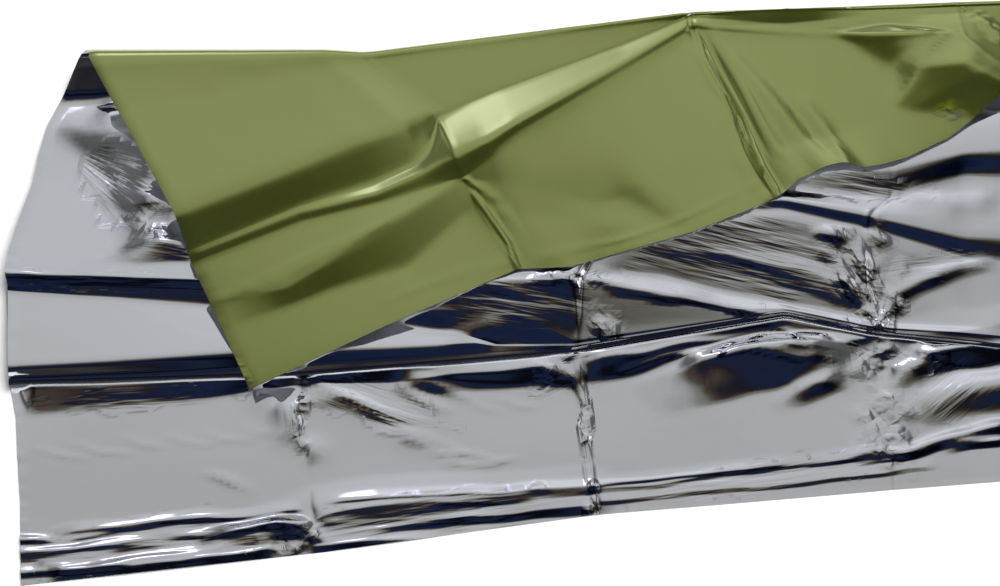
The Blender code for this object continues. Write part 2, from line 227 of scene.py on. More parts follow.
# Noises: scale, in waves a metre or a unit, and detail.
WEAR_NOISE = (22.0, 3.0)       # the cloudy wear of the film
FINE_NOISE = (60.0, 1.0)       # the fine unevenness of the film
STREAK_NOISE = (1.0, 2.0)      # the streaks, at places that STREAK_SCALES has scaled
WARP_NOISE = (45.0, 2.0)       # what bends the small creases of crumpled film
CREASE_NOISE = (90.0, 1.0)     # the unevenness of the packing creases
STUDIO_NOISE = (5.0, 3.0)      # the unevenness of the studio
CLOUDY_WEAR = 0.25             # shares of the wear
CRUMPLE_WEAR = 0.5
STREAK_SCALES = (14.0, 150.0)  # along and across the streaks, in waves a metre
WARP_REACH = (0.03, 0.03, 0.0)     # how far noise moves the small creases, in metres
SECOND_MIRRORING = 1.5         # glossy depth above which film is seen by way of two mirrorings
# Creases of crumpled film: direction across them and pitch, in facet sizes.
FACET_DIRECTIONS = (((0.95, 0.31, 0.0), 1.0), ((-0.42, 0.91, 0.0), 0.75), ((0.64, 0.77, 0.0), 1.4))
SHARP_CORNER = math.radians(60)    # film bent more than this shows an edge
FLOOR_COLOUR = (0.86, 0.86, 0.86, 1.0)
FLOOR_ROUGHNESS = 0.8
FLOOR_GLOSS = 0.1
FLOOR_REACH = 6.0              # from the middle to the floor's sides, in metres
CAMERA_HEIGHT_ANGLE = 65.0     # above the floor, in degrees
CAMERA_DISTANCE = 2.37         # from the middle of the view, in metres
CAMERA_LENS = 90.7             # in millimetres, as the sensor's width is
CAMERA_SENSOR = 36.0
# Studio surroundings: (height angle, colour). 0 is the back wall's foot, 90 is overhead
# and 180 is the front wall's foot.
STUDIO_BY_HEIGHT = (
    (0, (0.34, 0.34, 0.35)),
    (14, (0.36, 0.36, 0.37)),
    (22, (0.42, 0.42, 0.43)),
    (28, (0.62, 0.63, 0.66)),
    (33, (0.74, 0.75, 0.79)),
    (39, (0.70, 0.71, 0.75)),
    (45, (0.62, 0.63, 0.66)),
    (52, (0.55, 0.56, 0.58)),
    (60, (0.515, 0.52, 0.53)),
    (67, (0.475, 0.478, 0.485)),
    (71, (0.45, 0.452, 0.455)),
    (75, (0.43, 0.43, 0.43)),
    (78, (0.345, 0.345, 0.34)),
    (82, (0.225, 0.225, 0.21)),
    (86, (0.14, 0.138, 0.12)),
    (89, (0.085, 0.068, 0.055)),
    (92, (0.045, 0.034, 0.030)),
    (95, (0.014, 0.014, 0.02)),
    (101, (0.010, 0.018, 0.050)),
    (106, (0.008, 0.013, 0.036)),
    (111, (0.003, 0.004, 0.007)),
    (117, (0.003, 0.003, 0.005)),
    (124, (0.011, 0.018, 0.046)),
    (134, (0.008, 0.01, 0.02)),
    (141, (0.014, 0.013, 0.018)),
    (150, (0.035, 0.034, 0.034)),
    (157, (0.04, 0.04, 0.04)),
    (164, (0.03, 0.03, 0.03)),
    (180, (0.03, 0.03, 0.035)),
)
HEIGHT_SPAN = (0.0, 180.0)     # of the height angles, in degrees
# What the surroundings are multiplied by from the left (-1) to the right (1).
STUDIO_BY_SIDE = (
    (-1, 3), (-0.9, 2.6), (-0.8, 0.4), (-0.66, 1), (-0.6, 0.9), (-0.53, 0.26), (-0.42, 0.22),
    (-0.31, 0.75), (-0.2, 1), (0.2, 1), (0.31, 0.75), (0.42, 0.22), (0.53, 0.26), (0.6, 1),
    (0.68, 1.1), (0.8, 0.4), (0.9, 2.6), (1, 3),
)
SIDE_SPAN = (-1.0, 1.0)        # from the left to the right
# The window at the back left: how much of it shows by height angle and by side.
WINDOW_BY_HEIGHT = ((25, 0), (28, 1), (41, 1), (45, 0))
WINDOW_BY_SIDE = ((-0.24, 0), (-0.21, 1), (-0.115, 1), (-0.075, 0))
WINDOW_COLOUR = (1.1, 1.05, 1.7)
STUDIO_UNEVENNESS = 5.0        # how far noise moves the colours, in degrees
# The lamp that lights the floor and the flap.
LAMP_PLACE = (0.3, 0.4, 3.0)
LAMP_SIZE = 2.5                # across, in metres
LAMP_POWER = 150.0             # in watts
# Packing creases, in metres, but for the share of unevenness and the seed.
CREASES = {
    "Panel Length": PANEL_LENGTH,
    "Panel Width": PANEL_WIDTH,
    "Crease Width": 0.006,
    "Crosswise Height": 0.0009,
    "Lengthwise Height": 0.00012,
    "Unevenness": 0.7,
    "Seed": 3.0,
}
CREASE_SHARPNESS = 1.4         # power of a crease's profile
CREASE_DROP = 0.4              # depth of the creases that are turned down, as a share
CREASE_SWING = 4.0             # of the noise, before Unevenness scales it

# ---- what lifts the layers, in millimetres ----------------------------------------------
LAYER_SEED = {"front": 1, "back": 2, "flap": 3}
# Low billows all over a layer: height, grain along X, grain along Y.
BILLOWS = {"front": (0.5, 90, 55), "back": (0.5, 110, 60), "flap": (0.7, 120, 80)}
# How far the folds of a layer sway from their paths: distance, grain along X, grain along Y.
SWAYS = {"front": (1.8, 34, 16), "back": (3, 30, 20), "flap": (0.8, 40, 30)}
RAGGED_RIM = 0.35              # how far the rims of zones go in and out, as a share of the zone
RAGGED_GRAIN = 17              # length of their ins and outs
ZONE_PLATEAU = 1.2             # above 1, a zone is at its full strength before its middle
CALM_STREAK = 0.02             # how streaked the film is outside the streaked zones
STREAK_STRETCH = 6             # length of a streak, in grains
FACET_SOFTENING = 2            # passes that round the facets' edges
FOLD_SHARPNESS = 1.5           # power of a sharp fold's profile
NOISE_CELLS = 64               # after this many grains the noise starts again
# Crests of crumpled film come in two sizes: scale, shift, rounding, share.
CRESTS = ((1.0, 0, 0.004, 0.75), (1.7, 7, 0.02, 0.25))
CREST_MIDDLE = 0.5             # height of the crests that leaves the film where it is
BILLOW_SHIFT = 11              # moves the billows' noise, in grains
# Seeds. A zone's place in its table is added to CRUMPLE_SEED, twice, or to STREAK_SEED.
SWAY_SEEDS = (21, 22)
RIM_SEED = 77                  # of the zones' rims
CRUMPLE_SEED = 40
STREAK_SEED = 140
# Folds of each layer: shape, width to the front, width to the back, path of (x, y, height).
FRONT_FOLDS = (
    ("flat", 8, 6, ((-433, -246, 3), (-414, -245, 3), (-397, -248, 0))),
    ("flat", 3.4, 9, ((-396, -240, 0.59), (-384, -238, 1.32), (-344, -234, 1.47),
        (-318, -230, 1.47), (-274, -225, 1.32), (-233, -223, 1.47), (-187, -216, 1.47))),
    ("flat", 3.4, 8, ((-393, -248, 0.89), (-351, -240, 1.47), (-299, -230, 1.03))),
    ("flat", 11, 6, ((-427, -257, 3.2), (-377, -254, 3), (-336, -249, 2.4), (-306, -244, 0))),
    ("flat", 14.9, 10, ((-273, -246, 0), (-246, -237, 5.3), (-200, -229, 6.47),
        (-184, -230, 5.15))),
    ("flat", 4.6, 8, ((-407, -270, 1.47), (-376, -266, 2.06), (-351, -263, 1.47))),
    ("flat", 5.8, 8, ((-358, -270, 1.17), (-332, -264, 2.36), (-273, -257, 2.51),
        (-206, -245, 2.51))),
    ("flat", 10.3, 8, ((-393, -276, 2.94), (-335, -271, 3.98), (-278, -265, 3.98),
        (-213, -255, 3.68))),
    ("flat", 4.6, 7, ((-429, -278, 2.06), (-369, -273, 1.91), (-335, -268, 1.17))),
    ("flat", 3, 9, ((-149, -210, 0.74), (-138, -209, 1.17), (-64, -205, 1.17), (-24, -202, 1.17),
        (81, -195, 1.03))),
    ("flat", 7, 12, ((-95, -212, 0.2), (-63, -209, 1.2), (-26, -206, 1.8), (36, -201, 2),
        (80, -198, 1.4))),
    ("flat", 17, 32, ((-177, -229, 1.6), (-159, -222, 3.4), (-114, -215, 4.8), (-68, -212, 4.6),
        (-18, -211, 3.6), (36, -209, 2.6), (80, -206, 2))),
    ("flat", 7, 9, ((-164, -243, 1.4), (-108, -234, 1.6), (-28, -225, 1.8), (80, -214, 1.6))),
    ("flat", 6.9, 9, ((-165, -252, 1.77), (-153, -251, 2.36), (-113, -246, 2.36),
        (-63, -245, 0.89))),
    ("flat", 3, 9, ((89, -195, 1.03), (134, -188, 1.32), (215, -179, 0.89))),
    ("flat", 3.9, 9, ((82, -199, 0.9), (151, -192, 1), (201, -182, 0.9), (249, -175, 0.9))),
    ("flat", 4.6, 9, ((218, -179, 0.6), (261, -174, 1.2), (296, -171, 1.3), (330, -165, 1.6))),
    ("flat", 3.9, 9, ((89, -209, 0.8), (212, -196, 1), (344, -182, 0.9), (392, -176, 0.4))),
    ("flat", 9.2, 9, ((330, -164, 1.47), (345, -162, 2.36), (369, -162, 2.94), (393, -153, 3.68),
        (459, -135, 4.27))),
    ("flat", 6.9, 6, ((402, -161, 0), (427, -152, 2.64), (458, -149, 2.94))),
    ("flat", 15, 13, ((-92, -91, 0), (-56, -86, 3.2), (0, -83, 4.4), (42, -78, 4.2), (61, -82, 1))),
    ("flat", 7, 12, ((-97, -90, 0), (-69, -93, 2.6), (-35, -105, 0.6))),
    ("sharp", 9, 5, ((-180, -90, 1.5), (-157, -97, 2.2), (-130, -112, 2.2), (-100, -127, 1.6),
        (-66, -132, 0))),
    ("sharp", 9, 7, ((-91, -95, 1.7), (-67, -111, 2), (-46, -123, 0))),
    ("sharp", 4, 3, ((-37, -106, 0.6), (-18, -117, 0.7), (5, -122, 0))),
    ("sharp", 4, 3, ((0, -107, 0.5), (20, -116, 0.6), (44, -118, 0))),
    ("soft", 4, 4, ((-93, -150, 0.1), (-81, -147, 0.7), (-66, -155, 0.7), (-55, -164, 0.3))),
    ("soft", 4, 4, ((-112, -142, 0.5), (-73, -142, 0.8), (-58, -150, 0.7), (-38, -161, 0.7),
        (-7, -168, 0.7), (14, -167, 0.2))),
    ("soft", 4, 4, ((-62, -163, 0.6), (-38, -164, 0.7), (-49, -173, 0.7), (-4, -174, 0.7),
        (0, -168, 0.3))),
    ("soft", 4, 4, ((-422, -157, 0.2), (-402, -165, 0.5), (-374, -167, 0.2))),
    ("soft", 4, 4, ((-386, -151, 0.2), (-365, -160, 0.5), (-338, -162, 0.2))),
    ("soft", 4, 4, ((-344, -146, 0.2), (-329, -154, 0.5), (-309, -157, 0.2))),
    ("soft", 4, 4, ((-304, -143, 0.2), (-288, -151, 0.5), (-263, -154, 0.2))),
    ("soft", 4, 4, ((-271, -139, 0.2), (-256, -147, 0.5), (-229, -149, 0.2))),
    ("soft", 4, 4, ((-234, -136, 0.2), (-222, -142, 0.5), (-200, -144, 0.2))),
    ("flat", 5, 6, ((-270, -182, 0.2), (-256, -185, 0.9), (-240, -190, 0.9), (-227, -197, 0.4))),
    ("soft", 16, 12, ((-213, -129, 0.3), (-201, -117, 1.6), (-192, -107, 1.2))),
    ("soft", 14, 12, ((-168, -105, 1), (-143, -109, 1.6), (-118, -117, 1.2), (-94, -123, 0.3))),
    ("flat", 19, 12, ((83, -72, 2), (95, -70, 5), (124, -65, 5), (178, -54, 4.8), (205, -50, 2))),
    ("flat", 43, 13, ((165, -80, 3), (187, -72, 9.5), (225, -61, 12.5), (267, -55, 12.8),
        (293, -55, 10), (316, -57, 5), (337, -61, 0))),
    ("sharp", 5, 5, ((176, -71, 1), (223, -61, 1.6), (279, -71, 1.6), (299, -67, 1))),
    ("sharp", 4, 6, ((113, -81, 1), (149, -69, 1.6), (197, -61, 1))),
    ("flat", 15, 9, ((264, -106, 1), (279, -99, 4.4), (296, -92, 4.2), (309, -86, 1.6),
        (319, -82, 0))),
    ("sharp", 4, 4, ((240, -30, 0.4), (264, -39, 0.7), (298, -49, 0.8), (317, -54, 0.6))),
    ("flat", 20, 15, ((352, -109, 0), (373, -86, 5), (397, -67, 6.6), (427, -60, 6.8),
        (465, -57, 5.6))),
    ("soft", 32, 20, ((368, -121, 1), (392, -109, 3.4), (425, -98, 4.6), (467, -92, 6.8))),
    ("flat", 9, 4, ((82, -59, 2.6), (164, -44, 2.6), (231, -32, 2.2), (262, -27, 1))),
)
BACK_FOLDS = (
    ("sharp", 5, 6, ((352, -39, 3), (335, -12, 3), (317, 17, 1))),
    ("sharp", 5, 6, ((353, -36, 3), (344, -3, 3.4), (340, 37, 1.5))),
    ("sharp", 6, 5, ((356, -34, 3), (367, -8, 3), (380, 25, 1))),
    ("flat", 9, 8, ((354, -30, 1.2), (374, -5, 2.8), (409, 12, 3.2), (455, 27, 1.5))),
    ("flat", 12, 22, ((372, -48, 0.3), (395, -49, 0.9), (423, -45, 1.8), (466, -38, 2.2))),
    ("flat", 9, 12, ((246, 25, 0), (281, 19, 1.3), (315, 5, 1.6), (342, -16, 1))),
    ("flat", 8, 12, ((188, 34, 0), (237, 25, 1.3), (292, 3, 1.5), (327, -16, 0.8))),
    ("sharp", 4, 4, ((348, 74, 1.2), (345, 62, 1.2))),
    ("flat", 3.4, 17, ((86, 3, 0.8), (110, -3, 2.4), (168, -13, 2.8), (208, -21, 2.8),
        (250, -29, 2), (293, -38, 0.8))),
    ("flat", 25, 25, ((-88, -25, 0.6), (-56, -26, 2), (-19, -26, 2.3), (15, -29, 2.1),
        (45, -37, 1.7), (72, -48, 0.6))),
    ("flat", 12, 6, ((297, 46, 0), (307, 54, 4.5), (318, 50, 3), (326, 46, 0))),
    ("flat", 22, 10, ((-364, 101, 1), (-333, 92, 6), (-294, 83, 7))),
    ("flat", 20, 8, ((-359, 36, 0), (-330, 44, 2.2), (-290, 42, 2.6))),
    ("flat", 12, 10, ((394, 94, 1), (427, 86, 2.4), (461, 91, 2))),
)
FLAP_FOLDS = (
    ("sharp", 4, 4, ((-32, 102, 1.2), (-7, 82, 2), (5, 66, 2), (27, 24, 1.6))),
    ("sharp", 4, 4, ((-25, 87, 1), (-10, 65, 2), (8, 36, 2), (16, 13, 1.6))),
    ("sharp", 7, 7, ((192, 276, 1.5), (197, 243, 3), (226, 178, 4.5), (239, 137, 4.5),
        (261, 88, 3.5))),
    ("flat", 10, 9, ((195, 272, -2), (208, 242, -2.8), (231, 183, -2.9), (250, 135, -2.5),
        (266, 96, -2.3))),
    ("sharp", 5, 7, ((196, 276, 1), (232, 205, 3), (265, 137, 3.5), (272, 128, 3),
        (283, 108, 2.5))),
    ("flat", 20, 5, ((196, 284, 0.6), (257, 202, 2.6), (311, 120, 2.2))),
    ("flat", 6, 12, ((291, 187, 1.2), (312, 155, 2.6), (330, 118, 2.6))),
    ("sharp", 5, 4, ((189, 247, 0.8), (206, 205, 1.4), (216, 189, 1.4), (211, 175, 1.4),
        (223, 151, 1.6), (238, 103, 1.6), (252, 87, 1.4))),
    ("flat", 14, 6, ((201, 287, 1), (235, 290, 3), (278, 291, 4.2), (305, 293, 4.2),
        (341, 296, 2))),
    ("sharp", 4, 4, ((279, 294, 2), (279, 277, 2))),
    ("flat", 5, 8, ((472, 278, 3), (487, 258, 4))),
    ("flat", 44, 60, ((381, 230, 0), (406, 225, 9.5), (451, 227, 11.5), (483, 207, 11))),
    ("sharp", 3, 4, ((450, 297, 1), (463, 284, 1.6), (468, 289, 1))),
    ("sharp", 4, 6, ((404, 234, 1), (418, 247, 2), (434, 262, 1))),
    ("sharp", 3, 3, ((-375, 190, 1), (-287, 201, 0.8), (-202, 225, 0.2))),
    ("sharp", 5, 5, ((-268, -25, 0.4), (-221, -3, 0.7), (-171, 22, 1.1), (-140, 39, 0.9),
        (-108, 58, 0.5))),
    ("sharp", 5, 5, ((-111, -22, 0.2), (-79, -8, 0.4), (-28, 9, 0.5), (12, 18, 0.5))),
    ("sharp", 5, 5, ((30, 18, 0.3), (45, 25, 0.5), (119, 45, 0.5), (167, 61, 0.5), (229, 94, 0.2))),
)
FOLDS = {"front": FRONT_FOLDS, "back": BACK_FOLDS, "flap": FLAP_FOLDS}
# Facets of each layer: peak (x, y, height), corners of the base.
FACETS = {
    "front": (
        ((67, -94, 3.5), ((52, -76), (66, -69), (83, -82), (79, -111))),
        ((-143, -95, 1), ((-183, -90), (-177, -121), (-138, -133), (-99, -137), (-89, -93),
            (-139, -87))),
        ((-192, -123, 4.6), ((-204, -117), (-207, -145), (-198, -164), (-185, -157), (-181, -123),
            (-193, -105))),
        ((-171, -156, 2.8), ((-182, -153), (-179, -174), (-157, -176), (-158, -155), (-171, -143))),
        ((-219, -101, 3.6), ((-229, -98), (-225, -125), (-213, -127), (-210, -101), (-220, -91))),
        ((-86, -146, 2.2), ((-97, -141), (-89, -158), (-60, -161), (-66, -150), (-82, -133))),
    ),
    "back": (
        ((-335, 149, 15), ((-436, 175), (-387, 130), (-345, 67), (-288, 52), (-268, 114),
            (-303, 213), (-385, 211))),
        ((-297, 47, 6), ((-350, 74), (-370, 25), (-284, 20), (-269, 60))),
        ((-372, 204, 6.5), ((-394, 205), (-387, 184), (-361, 180), (-351, 203))),
        ((-15, -42, 3), ((-46, -45), (16, -32), (-5, -62), (-24, -58))),
        ((-35, -46, 2.5), ((-56, -46), (-22, -44), (-21, -59), (-50, -60))),
    ),
    "flap": (
        ((330, 275, 2.5), ((322, 265), (341, 284), (338, 271))),
        ((383, 260, 10), ((323, 266), (386, 223), (434, 264), (376, 276))),
        ((130, 77, -4.2), ((34, 94), (103, 123), (178, 50), (93, 20))),
    ),
}
# Crumpled zones: layer, centre, radii, turn in degrees, height, grain.
CRUMPLES = (
    ("flap", (433, 181), (18, 12), -30, 1.4, 13),
    ("flap", (-243, -93), (14, 14), 0, 1, 12),
    ("front", (-182, -121), (11, 44), 0, 0.5, 9),
    ("front", (-180, -242), (40, 22), 0, 3.2, 13),
    ("front", (83, -211), (8, 24), 0, 1.6, 11),
    ("front", (79, -139), (7, 60), 0, 0.8, 12),
    ("front", (358, -134), (36, 56), 0, 2, 19),
    ("front", (362, -69), (56, 26), 0, 2.4, 18),
    ("front", (43, -88), (26, 18), 0, 1.4, 14),
    ("front", (64, -67), (12, 9), 0, 2, 10),
    ("back", (336, 19), (40, 58), 10, 2.8, 22),
    ("back", (352, -32), (34, 26), 0, 2.4, 16),
    ("back", (98, -43), (22, 26), 0, 1.3, 16),
    ("back", (-326, 56), (36, 18), -5, 1.5, 12),
    ("back", (61, 6), (40, 9), 0, 1.6, 10),
)
# Streaked zones: layer, centre, radii, turn in degrees, height, grain, distance of the fan point.
STREAKS = (
    ("front", (-314, -250), (170, 30), 6, 0.9, 7, 0),
    ("front", (-63, -224), (170, 24), 8, 0.7, 7, 0),
    ("front", (236, -186), (190, 18), 9, 0.35, 7, 0),
    ("front", (-341, -110), (110, 14), 4, 0.5, 9, 0),
    ("front", (-120, -111), (80, 26), -18, 0.4, 12, 0),
    ("front", (415, -104), (62, 34), 40, 0.8, 12, 0),
    ("back", (225, 31), (150, 66), -13, 0.45, 11, 0),
    ("back", (-354, 115), (70, 52), -30, 1.2, 12, 95),
    ("back", (-315, 42), (60, 22), -8, 0.8, 10, 0),
    ("back", (-374, 4), (140, 12), -2, 0.3, 9, 0),
    ("back", (0, -17), (90, 30), -8, 0.6, 10, 0),
    ("back", (342, 104), (90, 20), -8, 0.6, 10, 0),
    ("back", (394, 20), (60, 18), 8, 0.6, 10, 0),
)


# ---- noise -------------------------------------------------------------------------
def smooth(t):
    """Smooth step from 0 to 1."""
    t = np.clip(t, 0, 1)
    return t * t * (3 - 2 * t)


def value_noise(x, y, seed):
    """Smooth random values from -1 to 1 at places given in units of the grain."""
    values = np.random.default_rng(seed).uniform(-1, 1, (NOISE_CELLS, NOISE_CELLS))
    cell_x, cell_y = np.floor(x).astype(int), np.floor(y).astype(int)
    tx, ty = smooth(x - cell_x), smooth(y - cell_y)
    x0, x1 = cell_x % NOISE_CELLS, (cell_x + 1) % NOISE_CELLS
    y0, y1 = cell_y % NOISE_CELLS, (cell_y + 1) % NOISE_CELLS
    low = values[x0, y0] * (1 - tx) + values[x1, y0] * tx
    high = values[x0, y1] * (1 - tx) + values[x1, y1] * tx
    return low * (1 - ty) + high * ty


def ridged_noise(x, y, seed):
    """Crests that meet at random, from 0 to 1."""
    height = np.zeros(x.shape)
    for number, (scale, shift, rounding, share) in enumerate(CRESTS):
        noise = value_noise(x * scale + shift, y * scale, seed + number)
        height += share * (1 - np.sqrt(noise ** 2 + rounding))
    return height


def soften(values, passes):
    """Averages a grid's values with their neighbours, both ways."""
    for _ in range(passes):
        padded = np.pad(values, 1, mode="edge")
        values = 0.25 * padded[:-2, 1:-1] + 0.5 * values + 0.25 * padded[2:, 1:-1]
        padded = np.pad(values, 1, mode="edge")
        values = 0.25 * padded[1:-1, :-2] + 0.5 * values + 0.25 * padded[1:-1, 2:]
    return values


# ---- forms that lift a layer ---------------------------------------------------------
def fold_profile(shape, distance):
    """Height from 0 to 1 of a fold at distances from its crest, in widths."""
    if shape == "soft":
        return smooth(1 - distance)
    profile = np.clip(1 - distance, 0, 1)
    return profile ** FOLD_SHARPNESS if shape == "sharp" else profile


def fold_lift(x, y, path, front, back, shape):
    """Lift of one fold: a ridge, or a trough where its heights are below zero."""
    nearest = np.full(x.shape, np.inf)
    lift = np.zeros(x.shape)
    for (x0, y0, h0), (x1, y1, h1) in zip(path, path[1:]):
        dx, dy = x1 - x0, y1 - y0
        length = math.hypot(dx, dy)
        along = ((x - x0) * dx + (y - y0) * dy) / length
        across = ((y - y0) * dx - (x - x0) * dy) / length
        if dx < 0:
            across = -across
        past = np.maximum(np.maximum(-along, along - length), 0)
        distance = np.hypot(across / np.where(across > 0, back, front), past / max(front, back))
        height = h0 + (h1 - h0) * np.clip(along / length, 0, 1)
        closer = distance < nearest
        lift = np.where(closer, height * fold_profile(shape, distance), lift)
        nearest = np.where(closer, distance, nearest)
    return lift


def facet_lift(x, y, peak, corners):
    """Lift of a flat-sided peak, or of a pit where its height is below zero."""
    peak_x, peak_y, height = peak
    lift = np.zeros(x.shape)
    for (ax, ay), (bx, by) in zip(corners, corners[1:] + corners[:1]):
        area = (ax - peak_x) * (by - peak_y) - (bx - peak_x) * (ay - peak_y)
        a = ((x - peak_x) * (by - peak_y) - (bx - peak_x) * (y - peak_y)) / area
        b = ((ax - peak_x) * (y - peak_y) - (x - peak_x) * (ay - peak_y)) / area
        inside = (a >= 0) & (b >= 0) & (a + b <= 1)
        lift = np.where(inside, height * (1 - a - b), lift)
    return lift


def zone_place(x, y, centre, turn):
    """Places along and across a zone, from its centre. The zone is turned by some degrees."""
    angle = math.radians(turn)
    dx, dy = x - centre[0], y - centre[1]
    along = dx * math.cos(angle) + dy * math.sin(angle)
    across = dy * math.cos(angle) - dx * math.sin(angle)
    return along, across


def zone_mask(x, y, centre, radii, turn):
    """1 in the middle of an oval zone, fading to 0 round a ragged rim."""
    along, across = zone_place(x, y, centre, turn)
    rim = RAGGED_RIM * value_noise(x / RAGGED_GRAIN, y / RAGGED_GRAIN, RIM_SEED)
    return smooth(ZONE_PLATEAU * (1 - np.hypot(along / radii[0], across / radii[1]) + rim))


def streak_place(x, y, centre, turn, fan):
    """Places along and across a zone's streaks, which spread from a point that is
    fan before the centre, or run side by side where fan is 0."""
    along, across = zone_place(x, y, centre, turn)
    if fan:
        from_point = along + fan
        along, across = np.hypot(from_point, across), np.arctan2(across, from_point) * fan
    return along, across


def layer_lift(layer, x, y):
    """Sum of everything that lifts one layer at places in plan, all in millimetres."""
    height, grain_along, grain_across = BILLOWS[layer]
    places = x / grain_along, y / grain_across + BILLOW_SHIFT
    lift = height * value_noise(*places, LAYER_SEED[layer])
    sway, grain_along, grain_across = SWAYS[layer]
    shifts = [sway * value_noise(x / grain_along, y / grain_across, seed) for seed in SWAY_SEEDS]
    x, y = x + shifts[0], y + shifts[1]
    for shape, front, back, path in FOLDS[layer]:
        lift += fold_lift(x, y, path, front, back, shape)
    facets = sum(facet_lift(x, y, peak, corners) for peak, corners in FACETS[layer])
    lift += soften(facets, FACET_SOFTENING)
    for number, (name, centre, radii, turn, height, grain) in enumerate(CRUMPLES):
        if name == layer:
            crests = ridged_noise(x / grain, y / grain, CRUMPLE_SEED + 2 * number) - CREST_MIDDLE
            lift += zone_mask(x, y, centre, radii, turn) * height * crests
    for number, (name, centre, radii, turn, height, grain, fan) in enumerate(STREAKS):
        if name == layer:
            along, across = streak_place(x, y, centre, turn, fan)
            places = along / (STREAK_STRETCH * grain), across / grain
            streaks = value_noise(*places, STREAK_SEED + number)
            lift += zone_mask(x, y, centre, radii, turn) * height * streaks
    return lift


def crumple_mask(layer, x, y):
    """How crumpled the film is at places in plan, from 0 to 1."""
    mask = np.zeros(x.shape)
    for name, centre, radii, turn, *_ in CRUMPLES:
        if name == layer:
            mask = np.maximum(mask, zone_mask(x, y, centre, radii, turn))
    return mask


def streak_fields(layer, x, y):
    """How streaked the film is, from 0 to 1, and the place along and across its streaks."""
    mask = np.full(x.shape, CALM_STREAK)
    grain_x, grain_y = x, y
    for name, centre, radii, turn, *_, fan in STREAKS:
        if name == layer:
            zone = zone_mask(x, y, centre, radii, turn)
            along, across = streak_place(x, y, centre, turn, fan)
            nearer = zone > mask
            grain_x = np.where(nearer, along, grain_x)
            grain_y = np.where(nearer, across, grain_y)
            mask = np.maximum(mask, zone)
    return mask, grain_x, grain_y


# ---- the sheet's middle surface --------------------------------------------------------
def column_panels():
    """Place of every column, in panels from the left end."""
    places = [0.0]
    for end, spacing in COLUMN_RUNS:
        start = places[-1]
        steps = math.ceil((end - start) * PANEL_LENGTH / (spacing * MM))
        places += [start + (end - start) * i / steps for i in range(1, steps + 1)]
    return np.array(places)


def fold_line(name, panels):
    """Points of a fold line at the columns."""
    places, *coordinates = zip(*FOLD_LINES[name])
    return np.stack([np.interp(panels, places, values) for values in coordinates], axis=1) * MM


def fold_size(name, panels):
    """Size of a fold at the columns, in metres."""
    return np.interp(panels, SIZE_PANELS, FOLD_SIZES[name]) * MM


def sheet_lines(panels):
    """Points of every line where the rows change their direction."""
    lines = {name: fold_line(name, panels) for name in FOLD_LINES}
    under_lap = lines["lap_edge"].copy()
    under_lap[:, 2] = FLOOR_LAYER + fold_size("slope_height", panels)
    ledge = lines["step_crest"] + (lines["ridge"] - lines["step_crest"]) * LEDGE_SHARE
    ledge[:, 2] = lines["step_crest"][:, 2] + LEDGE_RISE
    return {**lines, "under_lap": under_lap, "ledge": ledge}


def straight(start, end, steps):
    """Rows from one line of points to the next one, without the first."""
    t = (np.arange(1, steps + 1) / steps)[None, :, None]
    return start[:, None, :] * (1 - t) + end[:, None, :] * t


def rows_over(start, lines, counts):
    """Rows from a line of points over the named lines, without the first."""
    rows = []
    for name, count in counts:
        rows.append(straight(start, lines[name], count))
        start = lines[name]
    return np.concatenate(rows, axis=1)


def raised(line, dy, dz):
    """A line of points moved in Y and Z."""
    out = line.copy()
    out[:, 1] += dy
    out[:, 2] += dz
    return out


def column_length(rows):
    """Length of the sheet along each column."""
    return np.linalg.norm(np.diff(rows, axis=1), axis=2).sum(axis=1)


def soften_rows(rows, passes):
    """Rounds the heights of a layer across its rows, but not at its first and last row."""
    steps = np.linalg.norm(np.diff(rows[:, :, :2], axis=1), axis=2)
    steps = np.maximum(steps, SMALLEST_STEP)
    before, after = steps[:, :-1], steps[:, 1:]
    for _ in range(passes):
        z = rows[:, :, 2]
        between = (z[:, :-2] * after + z[:, 2:] * before) / (before + after)
        rows[:, 1:-1, 2] = 0.5 * (z[:, 1:-1] + between)
    return rows


def front_layer(lines):
    """From the front edge to the shadow of the lap edge."""
    edge = lines["front_edge"]
    rows = np.concatenate((edge[:, None, :], rows_over(edge, lines, FRONT_ROWS)), axis=1)
    return soften_rows(rows, FRONT_SOFTENING)


def tuck_layers(panels, lap, visible_length):
    """Back under the lap to the hidden tuck fold, round it and forward again."""
    slope, limit = fold_size("slope_height", panels), fold_size("tuck_limit", panels)
    depth = np.minimum((SHEET_WIDTH - visible_length) / 2, limit)
    radius = LAYER_PITCH / 2
    tuck_x, tuck_y = lap[:, 0] - depth * TUCK_LEAN, lap[:, 1] + depth - radius
    rows = []
    for i in range(1, UNDER_LAP_ROWS):
        t = i / UNDER_LAP_ROWS
        z = FLOOR_LAYER + slope * (1 - smooth(2 * t))
        rows.append((lap[:, 0] + (tuck_x - lap[:, 0]) * t, lap[:, 1] + (tuck_y - lap[:, 1]) * t, z))
    for i in range(TUCK_TURN_ROWS + 1):
        a = math.pi * i / TUCK_TURN_ROWS
        z = np.full(len(lap), FLOOR_LAYER + radius * (1 - math.cos(a)))
        rows.append((tuck_x, tuck_y + radius * math.sin(a), z))
    end = raised(lap, fold_size("roll_depth", panels), -fold_size("roll_height", panels))
    for i in range(1, TUCK_BACK_ROWS):
        t = smooth(i / TUCK_BACK_ROWS)
        z = (FLOOR_LAYER + LAYER_PITCH) * (1 - t) + end[:, 2] * t
        rows.append((tuck_x + (end[:, 0] - tuck_x) * t, tuck_y + (end[:, 1] - tuck_y) * t, z))
    return np.stack([np.stack(row, axis=1) for row in rows], axis=1)


